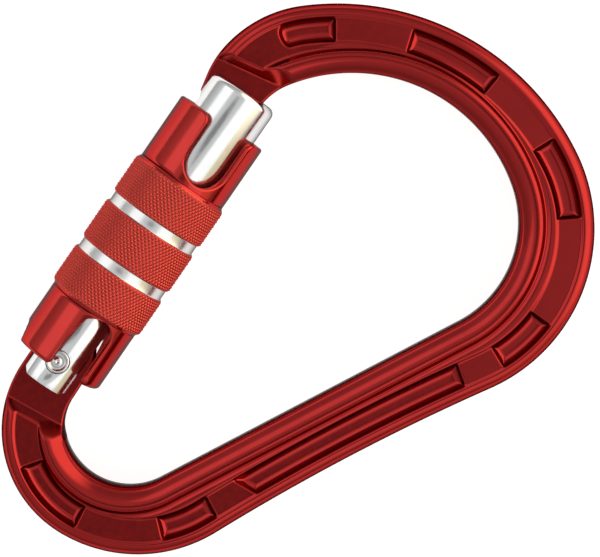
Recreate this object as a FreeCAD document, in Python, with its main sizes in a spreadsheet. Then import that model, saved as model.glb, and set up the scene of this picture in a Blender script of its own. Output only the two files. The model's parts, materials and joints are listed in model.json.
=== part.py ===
import FreeCAD, Part
import math
import os
import Sketcher

# A twist-lock carabiner, in millimetres. Every piece is drawn in the gate's own frame:
# the hinge axis is at the origin along Z, +Y runs up the gate to the nose, +X points
# across to the spine, and Z = 0 is the plane that halves the frame's thickness.
# Each piece's Placement then moves the hinge to its place beside the rope basket,
# whose arc centre is the origin of the finished part.

V = FreeCAD.Vector

# ---------------------------------------------------------------- driving dimensions

DIMENSIONS = [
    # the frame's inner outline, from the hinge down round the small end and up to the nose
    ("inner_start_x", 6.08), ("inner_start_y", -4.71),
    ("inner_heel_radius", 9.7), ("inner_heel_turn", 61.15),
    ("inner_small_radius", 12.37), ("inner_small_turn", 91.21),
    ("inner_spine_length", 63.09),
    ("inner_corner_radius", 20.64), ("inner_corner_turn", 82.13),
    ("inner_basket_radius", 31.72), ("inner_basket_turn", 91.95),
    ("inner_throat_radius", 12.26), ("inner_throat_turn", 26.91),
    ("inner_nose_length", 5.85),
    # the frame's outer outline, the same way round
    ("outer_start_x", -5.33), ("outer_start_y", -4.32),
    ("outer_small_radius", 22.37), ("outer_small_turn", 92.69),
    ("outer_toe_radius", 27.73), ("outer_toe_turn", 63.67),
    ("outer_waist_radius", 425.8), ("outer_waist_turn", 7.76),
    ("outer_corner_radius", 32.1), ("outer_corner_turn", 92.51),
    ("outer_basket_radius", 49.41), ("outer_basket_turn", 70.95),
    ("outer_brow_radius", 23.29), ("outer_brow_turn", 40.52),
    ("outer_nose_radius", 18.13), ("outer_nose_turn", 19.42),
    ("outer_nose_length", 2.88),
    # the frame's section, measured in from each outline and up from the middle plane
    ("bead_height", 5.6), ("bead_crest", 3.05), ("bead_wall", 2.55), ("bead_foot", 4.9),
    ("land_height", 4.2), ("rim_height", 4.45), ("rim_crest", 1.9), ("rim_wall", 1.5),
    ("rim_foot", 2.9), ("pocket_outer", 2.9), ("pocket_inner", 6.8), ("pocket_floor", 2.7),
    ("blank_spare", 0.3), ("bead_shoulder_in", 0.86), ("bead_shoulder_drop", 0.9),
    ("bead_fall_in", 1.35), ("bead_fall_drop", 0.45), ("rim_shoulder_in", 0.55),
    ("rim_shoulder_drop", 0.95), ("foot_overlap", 0.2), ("foot_lift", 0.06),
    ("cut_outside", 1.5), ("cut_above", 2.0),
    # the two flat tongues and the ramps that lead down to them
    ("tongue_half", 2.5), ("ramp_rise", 3.6), ("hinge_ramp", -10.35), ("hinge_ramp_angle", 5.5),
    ("hinge_ramp_far", 12.0),
    ("nose_ramp", 62.85), ("nose_ramp_angle", 10.0), ("nose_ramp_far", 50.0),
    ("nose_ramp_half", 25.0), ("cam_radius", 5.5), ("cam_offset", 2.5), ("cam_begin", -20.0),
    ("cam_end", 40.0), ("shoulder_y", 0.4), ("shoulder_round_x", -4.2), ("shoulder_round_y", 2.9),
    ("heel_x", 6.0), ("heel_y", 2.4), ("cheek_x", 6.0), ("cheek_y", -1.2),
    ("nose_corner_x", -6.0), ("nose_round_x", -6.9), ("nose_round_rise", 0.45),
    # the gate
    ("gate_radius", 5.3), ("gate_flat", 4.6), ("gate_bottom", -5.1), ("gate_chamfer", 1.1),
    ("fork_half", 2.85), ("fork_depth", 7.5), ("head_base", 40.3), ("head_top", 60.5),
    ("head_radius", 7.0), ("head_flat", 6.0), ("head_flat_top", 54.7), ("head_flare_top", 57.6),
    ("head_crown", 1.5), ("nose_slot_half", 2.8), ("nose_slot_floor", 53.3),
    ("nose_slot_wall", 4.7), ("bore_radius", 1.95), ("bore_depth", 30.0), ("clear_cut", 10.0),
    # the hinge rivet
    ("rivet_radius", 2.0), ("rivet_running", 2.05), ("rivet_head_radius", 2.25),
    ("rivet_seat_radius", 2.3), ("rivet_seat", 4.2), ("rivet_top", 5.25),
    ("rivet_edge", 0.3), ("rivet_rim", 0.4), ("dimple_radius", 0.45), ("dimple_depth", 0.35),
    # the locking sleeve
    ("sleeve_bottom", -0.9), ("sleeve_top", 53.3), ("sleeve_bore", 7.75),
    ("sleeve_radius", 9.0), ("knurl_radius", 9.65), ("knurl_bottom", 11.9), ("knurl_top", 39.6),
    ("ring_depth", 0.55), ("ring_low", 19.6), ("ring_high", 29.8), ("ring_width", 2.0),
    ("notch_half", 4.6), ("notch_bottom", 41.2), ("notch_angle", 17.0),
    ("heel_notch_half", 3.75), ("heel_notch_top", 11.2), ("heel_notch_angle", 18.3),
    ("relief_reach", 8.1), ("relief_top", 2.3), ("sleeve_edge", 0.5), ("sleeve_foot_edge", 0.9),
    ("knurl_edge", 0.3),
    # what the sleeve hides
    ("clip_bottom", 11.6), ("clip_width", 0.8), ("clip_groove", 4.9), ("clip_radius", 6.7),
    ("low_bush_bottom", 12.6), ("low_bush_top", 15.2), ("bush_running", 5.36),
    ("seat_thickness", 0.6), ("spring_wire", 0.45), ("spring_mean", 6.3), ("spring_pitch", 2.3),
    ("spring_gap", 0.02), ("spring_top", 32.2), ("clip_gap", 0.03), ("seat_gap", 0.2),
    ("seat_rim", 0.3), ("track_bottom", 33.0), ("track_top", 37.0), ("track_bore", 5.6),
    ("track_pin_height", 35.0), ("pin_radius", 1.2), ("pin_reach", 7.2), ("pin_root", 2.6),
    ("track_window", 1.3), ("window_near", 5.0), ("window_far", 7.35), ("sleeve_turn", 75.0),
    ("top_bush_bottom", 37.3), ("top_bush_top", 40.2),
    # the gate's closer, in its bore above the hinge
    ("plunger_radius", 1.9), ("plunger_length", 9.0), ("plunger_gap", 0.06),
    ("closer_wire", 0.3), ("closer_mean", 1.45), ("closer_pitch", 1.25),
]

doc = FreeCAD.newDocument("carabiner")
sheet = doc.addObject("Spreadsheet::Sheet", "dims")
for row, (alias, number) in enumerate(DIMENSIONS, start=1):
    sheet.set("A%d" % row, alias)
    sheet.set("B%d" % row, str(number))
    sheet.setAlias("B%d" % row, alias)
doc.recompute()


def size(alias):
    """The number in one cell of the sheet."""
    return float(sheet.get(alias))


def worth(expression):
    """What an expression over the sheet's cells comes to."""
    return float(sheet.evalExpression(expression))


# ---------------------------------------------------------------- outlines as chains of arcs


class Chain:
    """A smooth path of arcs and straight runs. A run is (radius, turn in degrees), with a
    positive radius for a left turn, or (None, length)."""

    def __init__(self, x, y, heading, runs):
        self.start = (x, y, math.radians(heading))
        self.runs = runs

    @staticmethod
    def advance(pose, radius, amount):
        x, y, heading = pose
        if radius is None:
            return x + amount * math.cos(heading), y + amount * math.sin(heading), heading
        turned = heading + math.copysign(math.radians(amount), radius)
        x += radius * (math.sin(turned) - math.sin(heading))
        y -= radius * (math.cos(turned) - math.cos(heading))
        return x, y, turned

    @staticmethod
    def length(radius, amount):
        return amount if radius is None else abs(radius) * math.radians(amount)

    def shifted(self, left):
        """The parallel chain, moved to the left of its direction of travel."""
        x, y, heading = self.start
        x -= left * math.sin(heading)
        y += left * math.cos(heading)
        runs = [(radius if radius is None else radius - left, amount) for radius, amount in self.runs]
        return Chain(x, y, math.degrees(heading), runs)

    def stretch(self, begin, end, left):
        """The part between two stations along this chain, moved to the left."""
        pose = self.start
        first = None
        kept = []
        station = 0.0
        for radius, amount in self.runs:
            whole = self.length(radius, amount)
            low = max(begin - station, 0.0)
            high = min(end - station, whole)
            if low < high:
                cut = self.advance(pose, radius, amount * low / whole)
                first = first or cut
                kept.append((radius, amount * (high - low) / whole))
            pose = self.advance(pose, radius, amount)
            station += whole
        x, y, heading = first
        return Chain(x, y, math.degrees(heading), kept).shifted(left)

    def curves(self):
        """Part curves, one for each run, in order."""
        pose = self.start
        made = []
        for radius, amount in self.runs:
            end = self.advance(pose, radius, amount)
            if radius is None:
                made.append(Part.LineSegment(V(*pose[:2], 0), V(*end[:2], 0)))
            else:
                middle = self.advance(pose, radius, amount / 2)
                made.append(Part.Arc(V(*pose[:2], 0), V(*middle[:2], 0), V(*end[:2], 0)))
            pose = end
        return made

    def end(self):
        pose = self.start
        for radius, amount in self.runs:
            pose = self.advance(pose, radius, amount)
        return V(*pose[:2], 0)

    def begin(self):
        return V(*self.start[:2], 0)


inner = Chain(size("inner_start_x"), size("inner_start_y"), -90, [
    (size("inner_heel_radius"), size("inner_heel_turn")),
    (size("inner_small_radius"), size("inner_small_turn")),
    (None, size("inner_spine_length")),
    (size("inner_corner_radius"), size("inner_corner_turn")),
    (size("inner_basket_radius"), size("inner_basket_turn")),
    (size("inner_throat_radius"), size("inner_throat_turn")),
    (None, size("inner_nose_length")),
])
outer = Chain(size("outer_start_x"), size("outer_start_y"), -90, [
    (size("outer_small_radius"), size("outer_small_turn")),
    (size("outer_toe_radius"), size("outer_toe_turn")),
    (-size("outer_waist_radius"), size("outer_waist_turn")),
    (size("outer_corner_radius"), size("outer_corner_turn")),
    (size("outer_basket_radius"), size("outer_basket_turn")),
    (size("outer_brow_radius"), size("outer_brow_turn")),
    (size("outer_nose_radius"), size("outer_nose_turn")),
    (None, size("outer_nose_length")),
])

# the basket arc's centre, found by walking the inner outline as far as the basket
basket_pose = inner.start
for radius, amount in inner.runs[:4]:
    basket_pose = Chain.advance(basket_pose, radius, amount)
hinge_x = -(basket_pose[0] - size("inner_basket_radius") * math.sin(basket_pose[2]))
hinge_y = -(basket_pose[1] + size("inner_basket_radius") * math.cos(basket_pose[2]))
hinge_place = [("hinge_x", hinge_x), ("hinge_y", hinge_y)]
for row, (alias, number) in enumerate(hinge_place, start=len(DIMENSIONS) + 1):
    sheet.set("A%d" % row, alias)
    sheet.set("B%d" % row, "%.6f" % number)
    sheet.setAlias("B%d" % row, alias)
doc.recompute()

# ---------------------------------------------------------------- small helpers for bodies

pieces = []


def place(thing, label):
    """Names a finished piece and moves its hinge-based frame to the part's frame."""
    thing.Label = label
    thing.setExpression("Placement.Base.x", "dims.hinge_x")
    thing.setExpression("Placement.Base.y", "dims.hinge_y")
    pieces.append(thing)
    return thing


def new_body(label):
    return place(doc.addObject("PartDesign::Body", label), label)


def origin_plane(body, role):
    return next(item for item in body.Origin.OriginFeatures if item.Role == role)


def new_sketch(body, name, role, offset=None, turn=None):
    """A sketch on one of the body's own planes, moved along its normal by an expression and
    turned about its own vertical axis by another."""
    sketch = body.newObject("Sketcher::SketchObject", name)
    sketch.AttachmentSupport = [(origin_plane(body, role), "")]
    sketch.MapMode = "FlatFace"
    if turn:
        sketch.AttachmentOffset = FreeCAD.Placement(V(0, 0, 0), FreeCAD.Rotation(V(0, 1, 0), 1))
        sketch.setExpression("AttachmentOffset.Rotation.Angle", turn)
    if offset:
        sketch.setExpression("AttachmentOffset.Base.z", offset)
    return sketch


def pin_point(sketch, curve, point, x, y):
    """Holds a sketch point at the place that two expressions give."""
    for kind, expression, axis in (("DistanceX", x, -2), ("DistanceY", y, -1)):
        number = worth(expression)
        if abs(number) < 1e-9:
            sketch.addConstraint(Sketcher.Constraint("PointOnObject", curve, point, axis))
        elif number > 0:
            held = sketch.addConstraint(Sketcher.Constraint(kind, -1, 1, curve, point, number))
            sketch.setExpression("Constraints[%d]" % held, expression)
        else:
            held = sketch.addConstraint(Sketcher.Constraint(kind, curve, point, -1, 1, -number))
            sketch.setExpression("Constraints[%d]" % held, "-(%s)" % expression)


def polygon(sketch, corners):
    """A closed polygon whose corners are pairs of expressions."""
    first = sketch.GeometryCount
    spots = [V(worth(x), worth(y), 0) for x, y in corners]
    count = len(spots)
    for index in range(count):
        sketch.addGeometry(Part.LineSegment(spots[index], spots[(index + 1) % count]), False)
    for index in range(count):
        after = first + (index + 1) % count
        sketch.addConstraint(Sketcher.Constraint("Coincident", first + index, 2, after, 1))
    for index, (x, y) in enumerate(corners):
        pin_point(sketch, first + index, 1, x, y)


def rectangle(sketch, left, right, bottom, top):
    polygon(sketch, [(left, bottom), (right, bottom), (right, top), (left, top)])


def circle(sketch, x, y, radius):
    curve = sketch.addGeometry(Part.Circle(V(worth(x), worth(y), 0), V(0, 0, 1), worth(radius)), False)
    pin_point(sketch, curve, 3, x, y)
    held = sketch.addConstraint(Sketcher.Constraint("Radius", curve, worth(radius)))
    sketch.setExpression("Constraints[%d]" % held, radius)


def loop(sketch, curves):
    """A closed run of curves, each joined to the next."""
    for curve in curves:
        sketch.addGeometry(curve, False)


def feature(body, kind, name, sketch, **settings):
    made = body.newObject("PartDesign::" + kind, name)
    made.Profile = sketch
    for key, value in settings.items():
        setattr(made, key, value)
    sketch.Visibility = False
    return made


def slab(body, kind, name, sketch, half):
    """A pad or pocket that reaches the same way on both sides of its sketch."""
    made = feature(body, kind, name, sketch, SideType="Symmetric", Type="Length")
    made.setExpression("Length", "2 * (%s)" % half)
    return made


def spun(body, kind, name, sketch):
    """A revolution or groove about the gate's axis."""
    return feature(body, kind, name, sketch, ReferenceAxis=(sketch, ["V_Axis"]), Angle=360.0)


def ring_body(label, name, low_radius, high_radius, bottom, top):
    """A plain ring about the gate's axis."""
    body = new_body(label)
    sketch = new_sketch(body, name, "XY_Plane")
    rectangle(sketch, low_radius, high_radius, bottom, top)
    spun(body, "Revolution", name + "_turned", sketch)
    return body

# ---------------------------------------------------------------- the forged frame

frame = new_body("frame")


def cam_point(degrees_past_top):
    """A point of the tongue's cam, at an angle from +Y towards +X about the hinge."""
    bearing = math.radians(degrees_past_top)
    along = size("cam_offset") * math.sin(bearing)
    across = size("cam_offset") * math.cos(bearing)
    reach = along + math.sqrt(size("cam_radius") ** 2 - across ** 2)
    return V(reach * math.sin(bearing), reach * math.cos(bearing), 0)


def tongue_edges():
    """The hinge tongue's edge, from the outer outline over the cam to the inner outline."""
    shoulder = V(size("outer_start_x"), size("shoulder_y"), 0)
    rounded = V(size("shoulder_round_x"), size("shoulder_round_y"), 0)
    heel = V(size("heel_x"), size("heel_y"), 0)
    cheek = V(size("cheek_x"), size("cheek_y"), 0)
    cam_begin = cam_point(size("cam_begin"))
    cam_middle = cam_point((size("cam_begin") + size("cam_end")) / 2)
    cam_end = cam_point(size("cam_end"))
    return [
        Part.LineSegment(outer.begin(), shoulder),
        Part.Arc(shoulder, rounded, cam_begin),
        Part.Arc(cam_begin, cam_middle, cam_end),
        Part.LineSegment(cam_end, heel),
        Part.LineSegment(heel, cheek),
        Part.LineSegment(cheek, inner.begin()),
    ]


def nose_edges():
    """The nose's blunt end, from the inner outline round to the outer one."""
    corner = V(size("nose_corner_x"), inner.end().y, 0)
    rounded = V(size("nose_round_x"), inner.end().y + size("nose_round_rise"), 0)
    return [
        Part.LineSegment(inner.end(), corner),
        Part.Arc(corner, rounded, outer.end()),
    ]


blank_sketch = new_sketch(frame, "frame_outline", "XY_Plane")
loop(blank_sketch, inner.curves() + nose_edges() + outer.curves()[::-1] + tongue_edges())
slab(frame, "Pad", "frame_blank", blank_sketch, "dims.bead_height + dims.blank_spare")


def band(near, far):
    """The closed strip between two chains that run the same way."""
    return near.curves() + [Part.LineSegment(near.end(), far.end())] + far.curves()[::-1] \
        + [Part.LineSegment(far.begin(), near.begin())]


land_sketch = new_sketch(frame, "land_outline", "XY_Plane", offset="dims.land_height")
land_outer = outer.shifted(size("rim_foot") - size("foot_overlap"))
loop(land_sketch, band(inner.shifted(-size("bead_foot")), land_outer))
land_cut = feature(frame, "Pocket", "land_cut", land_sketch, Reversed=True)
land_cut.setExpression("Length", "dims.bead_height")

# the rope bead: a rounded roll along the inner edge, swept along the inner outline
bead_path = new_sketch(frame, "bead_path", "XY_Plane")
loop(bead_path, inner.curves())
bead_sketch = new_sketch(frame, "bead_profile", "XZ_Plane", offset="-dims.inner_start_y")
bead_x = size("inner_start_x")
bead_top = size("bead_height")
foot_height = size("land_height") + size("foot_lift")
crest = V(bead_x - size("bead_crest"), bead_top, 0)
shoulder = V(bead_x - size("bead_shoulder_in"), bead_top - size("bead_shoulder_drop"), 0)
wall = V(bead_x + size("foot_lift"), size("bead_wall"), 0)
fall = V(crest.x - size("bead_fall_in"), bead_top - size("bead_fall_drop"), 0)
foot = V(bead_x - size("bead_foot") - size("foot_overlap"), foot_height, 0)
over = bead_top + size("cut_above")
outside = bead_x + size("cut_outside")
loop(bead_sketch, [
    Part.Arc(wall, shoulder, crest),
    Part.Arc(crest, fall, foot),
    Part.LineSegment(foot, V(foot.x, over, 0)),
    Part.LineSegment(V(foot.x, over, 0), V(outside, over, 0)),
    Part.LineSegment(V(outside, over, 0), V(outside, wall.y, 0)),
    Part.LineSegment(V(outside, wall.y, 0), wall),
])


def swept_cut(name, profile, path, runs):
    edges = ["Edge%d" % (index + 1) for index in range(runs)]
    made = feature(frame, "SubtractivePipe", name, profile, Spine=(path, edges))
    path.Visibility = False
    return made


bead_cut = swept_cut("bead_cut", bead_sketch, bead_path, len(inner.runs))

# the outer rim: a lower, tighter round along the outer edge
rim_path = new_sketch(frame, "rim_path", "XY_Plane")
loop(rim_path, outer.curves())
rim_sketch = new_sketch(frame, "rim_profile", "XZ_Plane", offset="-dims.outer_start_y")
rim_x = size("outer_start_x")
rim_top = size("rim_height")
rim_crest = V(rim_x + size("rim_crest"), rim_top, 0)
rim_shoulder = V(rim_x + size("rim_shoulder_in"), rim_top - size("rim_shoulder_drop"), 0)
rim_wall = V(rim_x - size("foot_lift"), size("rim_wall"), 0)
rim_foot = V(rim_x + size("rim_foot"), foot_height, 0)
rim_outside = rim_x - size("cut_outside")
loop(rim_sketch, [
    Part.Arc(rim_wall, rim_shoulder, rim_crest),
    Part.LineSegment(rim_crest, rim_foot),
    Part.LineSegment(rim_foot, V(rim_foot.x, over, 0)),
    Part.LineSegment(V(rim_foot.x, over, 0), V(rim_outside, over, 0)),
    Part.LineSegment(V(rim_outside, over, 0), V(rim_outside, rim_wall.y, 0)),
    Part.LineSegment(V(rim_outside, rim_wall.y, 0), rim_wall),
])
rim_cut = swept_cut("rim_cut", rim_sketch, rim_path, len(outer.runs))

# shallow pockets between flat lands, as stations along the outer outline
POCKETS = [(20.8, 38.7), (56.3, 69.5), (75.8, 121.2), (128.4, 141.7), (164.0, 181.5),
           (197.0, 216.6), (231.3, 244.0)]
pocket_sketch = new_sketch(frame, "pocket_outlines", "XY_Plane", offset="dims.pocket_floor")
for begin, end in POCKETS:
    loop(pocket_sketch, band(outer.stretch(begin, end, size("pocket_outer")),
                             outer.stretch(begin, end, size("pocket_inner"))))
pocket_cut = feature(frame, "Pocket", "pocket_cut", pocket_sketch, Reversed=True)
pocket_cut.setExpression("Length", "dims.bead_height")


def ramp(name, edge, far, half, turn=None):
    """Cuts a flat face down to a tongue, with a 45 degree ramp at its inner end."""
    sketch = new_sketch(frame, name + "_profile", "YZ_Plane", turn=turn)
    toward = "+" if worth(edge) > 0 else "-"
    run_out = "%s %s dims.ramp_rise" % (edge, toward)
    top = "dims.tongue_half + dims.ramp_rise"
    polygon(sketch, [(edge, "dims.tongue_half"), (run_out, top), (far, top), (far, "dims.tongue_half")])
    return slab(frame, "Pocket", name, sketch, half)


hinge_ramp = ramp("hinge_ramp", "dims.hinge_ramp", "dims.hinge_ramp_far", "dims.inner_small_radius",
                  turn="dims.hinge_ramp_angle")
nose_ramp = ramp("nose_ramp", "dims.nose_ramp", "dims.nose_ramp_far", "dims.nose_ramp_half",
                 turn="dims.nose_ramp_angle")

back = frame.newObject("PartDesign::Mirrored", "back_face")
back.Originals = [land_cut, bead_cut, rim_cut, pocket_cut, hinge_ramp, nose_ramp]
back.MirrorPlane = (origin_plane(frame, "XY_Plane"), [""])
frame.Tip = back

rivet_hole = new_sketch(frame, "rivet_hole_circle", "XY_Plane")
circle(rivet_hole, "0", "0", "dims.rivet_running")
slab(frame, "Pocket", "rivet_hole", rivet_hole, "dims.bead_height")

# ---------------------------------------------------------------- the gate

gate = new_body("gate")
bar_sketch = new_sketch(gate, "bar_side", "XY_Plane")
polygon(bar_sketch, [
    ("-dims.gate_flat + dims.gate_chamfer", "dims.gate_bottom"),
    ("dims.gate_flat - dims.gate_chamfer", "dims.gate_bottom"),
    ("dims.gate_flat", "dims.gate_bottom + dims.gate_chamfer"),
    ("dims.gate_flat", "dims.head_base + dims.head_crown"),
    ("-dims.gate_flat", "dims.head_base + dims.head_crown"),
    ("-dims.gate_flat", "dims.gate_bottom + dims.gate_chamfer"),
])
slab(gate, "Pad", "bar", bar_sketch, "dims.gate_radius + dims.cut_outside")


def turned(name, radius):
    """Cuts the gate down to a round bar of one radius about its axis."""
    sketch = new_sketch(gate, name + "_circles", "XZ_Plane")
    circle(sketch, "0", "0", radius)
    circle(sketch, "0", "0", "%s + dims.clear_cut" % radius)
    slab(gate, "Pocket", name, sketch, "dims.head_top + dims.clear_cut")


turned("bar_turned", "dims.gate_radius")

# the head: a stouter round, milled flat on its outer side, with a rounded end
head_sketch = new_sketch(gate, "head_side", "XY_Plane")
polygon(head_sketch, [
    ("-dims.head_flat", "dims.head_base"),
    ("dims.head_radius", "dims.head_base"),
    ("dims.head_radius", "dims.head_top"),
    ("-dims.head_radius", "dims.head_top"),
    ("-dims.head_radius", "dims.head_flare_top"),
    ("-dims.head_flat", "dims.head_flat_top"),
])
slab(gate, "Pad", "head", head_sketch, "dims.head_radius")
turned("head_turned", "dims.head_radius")

crown_sketch = new_sketch(gate, "crown_side", "XY_Plane")
crown = size("head_crown")
crown_in = size("head_radius") - crown
crown_low = size("head_top") - crown
crown_out = size("head_radius") + size("cut_outside")
crown_over = size("head_top") + size("cut_outside")
crown_diagonal = crown * math.sqrt(0.5)
loop(crown_sketch, [
    Part.Arc(V(crown_in, size("head_top"), 0), V(crown_in + crown_diagonal, crown_low + crown_diagonal, 0),
             V(size("head_radius"), crown_low, 0)),
    Part.LineSegment(V(size("head_radius"), crown_low, 0), V(crown_out, crown_low, 0)),
    Part.LineSegment(V(crown_out, crown_low, 0), V(crown_out, crown_over, 0)),
    Part.LineSegment(V(crown_out, crown_over, 0), V(crown_in, crown_over, 0)),
    Part.LineSegment(V(crown_in, crown_over, 0), V(crown_in, size("head_top"), 0)),
])
spun(gate, "Groove", "crown", crown_sketch)

fork_sketch = new_sketch(gate, "fork_side", "XY_Plane")
rectangle(fork_sketch, "-dims.clear_cut", "dims.clear_cut", "-dims.clear_cut", "dims.fork_depth")
slab(gate, "Pocket", "fork", fork_sketch, "dims.fork_half")

slot_sketch = new_sketch(gate, "nose_slot_side", "XY_Plane")
rectangle(slot_sketch, "-dims.clear_cut", "dims.nose_slot_wall", "dims.nose_slot_floor",
          "dims.head_top + dims.clear_cut")
slab(gate, "Pocket", "nose_slot", slot_sketch, "dims.nose_slot_half")

rivet_sketch = new_sketch(gate, "rivet_bore_circle", "XY_Plane")
circle(rivet_sketch, "0", "0", "dims.rivet_radius")
slab(gate, "Pocket", "rivet_bore", rivet_sketch, "dims.gate_radius")
for side, height, outward in (("front", "dims.rivet_seat", True), ("back", "-dims.rivet_seat", False)):
    seat_sketch = new_sketch(gate, side + "_seat_circle", "XY_Plane", offset=height)
    circle(seat_sketch, "0", "0", "dims.rivet_seat_radius")
    seat = feature(gate, "Pocket", side + "_seat", seat_sketch, Reversed=outward)
    seat.setExpression("Length", "dims.gate_radius")

bore_sketch = new_sketch(gate, "closer_bore_side", "XY_Plane")
rectangle(bore_sketch, "0", "dims.bore_radius", "dims.fork_depth - dims.cut_outside",
          "dims.fork_depth + dims.bore_depth")
spun(gate, "Groove", "closer_bore", bore_sketch)

clip_sketch = new_sketch(gate, "clip_groove_side", "XY_Plane")
rectangle(clip_sketch, "dims.clip_groove", "dims.gate_radius + dims.cut_outside",
          "dims.clip_bottom", "dims.clip_bottom + dims.clip_width")
spun(gate, "Groove", "clip_groove", clip_sketch)

pin_sketch = new_sketch(gate, "pin_bore_circle", "XY_Plane", offset="-dims.pin_root")
circle(pin_sketch, "0", "dims.track_pin_height", "dims.pin_radius")
pin_bore = feature(gate, "Pocket", "pin_bore", pin_sketch)
pin_bore.setExpression("Length", "dims.gate_radius")

# ---------------------------------------------------------------- hinge rivet and guide pin

rivet = new_body("hinge_rivet")
shank_sketch = new_sketch(rivet, "rivet_side", "XZ_Plane")
polygon(shank_sketch, [
    ("0", "-dims.rivet_top + dims.dimple_depth"),
    ("dims.dimple_radius", "-dims.rivet_top"),
    ("dims.rivet_head_radius - dims.rivet_rim", "-dims.rivet_top"),
    ("dims.rivet_head_radius", "-dims.rivet_top + dims.rivet_edge"),
    ("dims.rivet_head_radius", "-dims.rivet_seat"),
    ("dims.rivet_radius", "-dims.rivet_seat"),
    ("dims.rivet_radius", "dims.rivet_seat"),
    ("dims.rivet_head_radius", "dims.rivet_seat"),
    ("dims.rivet_head_radius", "dims.rivet_top - dims.rivet_edge"),
    ("dims.rivet_head_radius - dims.rivet_rim", "dims.rivet_top"),
    ("dims.dimple_radius", "dims.rivet_top"),
    ("0", "dims.rivet_top - dims.dimple_depth"),
])
spun(rivet, "Revolution", "rivet_turned", shank_sketch)

pin = new_body("guide_pin")
pin_end_sketch = new_sketch(pin, "pin_circle", "XY_Plane", offset="-dims.pin_root")
circle(pin_end_sketch, "0", "dims.track_pin_height", "dims.pin_radius")
pin_pad = feature(pin, "Pad", "pin_round", pin_end_sketch, Reversed=True)
pin_pad.setExpression("Length", "dims.pin_reach - dims.pin_root")

# ---------------------------------------------------------------- plunger and closing spring

plunger = new_body("gate_plunger")
tip_centre = math.sqrt((size("cam_radius") + size("plunger_radius")) ** 2 - size("cam_offset") ** 2)
tip_y = tip_centre + size("plunger_gap")
plunger_end = tip_y + size("plunger_length")
plunger_sketch = new_sketch(plunger, "plunger_side", "XY_Plane")
tip_radius = size("plunger_radius")
diagonal = tip_radius * math.sqrt(0.5)
tip_bottom = V(0, tip_y - tip_radius, 0)
tip_side = V(tip_radius, tip_y, 0)
loop(plunger_sketch, [
    Part.Arc(tip_bottom, V(diagonal, tip_y - diagonal, 0), tip_side),
    Part.LineSegment(tip_side, V(tip_radius, plunger_end, 0)),
    Part.LineSegment(V(tip_radius, plunger_end, 0), V(0, plunger_end, 0)),
    Part.LineSegment(V(0, plunger_end, 0), tip_bottom),
])
spun(plunger, "Revolution", "plunger_turned", plunger_sketch)


WIRE_FLATS = 12


def coil(label, mean, wire, bottom, top, pitch):
    """A coil about the gate's axis, of wire with twelve flats, centred from bottom to top."""
    helix = doc.addObject("Part::Helix", label + "_path")
    helix.Radius = mean
    helix.Pitch = pitch
    helix.Height = top - bottom
    helix.Placement = FreeCAD.Placement(V(0, bottom, 0), FreeCAD.Rotation(V(1, 0, 0), -90))
    section = doc.addObject("Part::RegularPolygon", label + "_section")
    section.Polygon = WIRE_FLATS
    section.Circumradius = wire
    section.Placement = FreeCAD.Placement(V(mean, bottom, 0), FreeCAD.Rotation())
    sweep = doc.addObject("Part::Sweep", label)
    sweep.Sections = [section]
    sweep.Spine = (helix, ["Edge1"])
    sweep.Solid = True
    sweep.Frenet = True
    return place(sweep, label)


closer_bottom = plunger_end + size("closer_wire") + size("spring_gap")
closer_top = size("fork_depth") + size("bore_depth") - size("closer_wire") - size("spring_gap")
coil("gate_spring", size("closer_mean"), size("closer_wire"), closer_bottom, closer_top,
     size("closer_pitch"))

# ---------------------------------------------------------------- the locking sleeve

sleeve = new_body("locking_sleeve")
turned_sketch = new_sketch(sleeve, "sleeve_side", "XY_Plane")
ring_floor = "dims.knurl_radius - dims.ring_depth"
polygon(turned_sketch, [
    ("dims.sleeve_bore", "dims.sleeve_bottom"),
    ("dims.sleeve_radius - dims.sleeve_foot_edge", "dims.sleeve_bottom"),
    ("dims.sleeve_radius", "dims.sleeve_bottom + dims.sleeve_foot_edge"),
    ("dims.sleeve_radius", "dims.knurl_bottom - dims.sleeve_edge"),
    ("dims.knurl_radius - dims.knurl_edge", "dims.knurl_bottom"),
    ("dims.knurl_radius", "dims.knurl_bottom + dims.knurl_edge"),
    ("dims.knurl_radius", "dims.ring_low"),
    (ring_floor, "dims.ring_low"),
    (ring_floor, "dims.ring_low + dims.ring_width"),
    ("dims.knurl_radius", "dims.ring_low + dims.ring_width"),
    ("dims.knurl_radius", "dims.ring_high"),
    (ring_floor, "dims.ring_high"),
    (ring_floor, "dims.ring_high + dims.ring_width"),
    ("dims.knurl_radius", "dims.ring_high + dims.ring_width"),
    ("dims.knurl_radius", "dims.knurl_top - dims.knurl_edge"),
    ("dims.knurl_radius - dims.knurl_edge", "dims.knurl_top"),
    ("dims.sleeve_radius", "dims.knurl_top + dims.sleeve_edge"),
    ("dims.sleeve_radius", "dims.sleeve_top - dims.sleeve_edge"),
    ("dims.sleeve_radius - dims.sleeve_edge", "dims.sleeve_top"),
    ("dims.sleeve_bore", "dims.sleeve_top"),
])
spun(sleeve, "Revolution", "sleeve_turned", turned_sketch)


def notch(name, half, root, mouth, angle):
    """A round-ended notch cut right across the sleeve, so that it has a twin at the back."""
    sketch = new_sketch(sleeve, name + "_side", "XY_Plane", turn=angle)
    reach = size(half)
    depth = math.copysign(reach, root - mouth)
    spring_line = root - depth
    loop(sketch, [
        Part.LineSegment(V(-reach, mouth, 0), V(-reach, spring_line, 0)),
        Part.Arc(V(-reach, spring_line, 0), V(0, root, 0), V(reach, spring_line, 0)),
        Part.LineSegment(V(reach, spring_line, 0), V(reach, mouth, 0)),
        Part.LineSegment(V(reach, mouth, 0), V(-reach, mouth, 0)),
    ])
    slab(sleeve, "Pocket", name, sketch, "dims.clear_cut")


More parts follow.
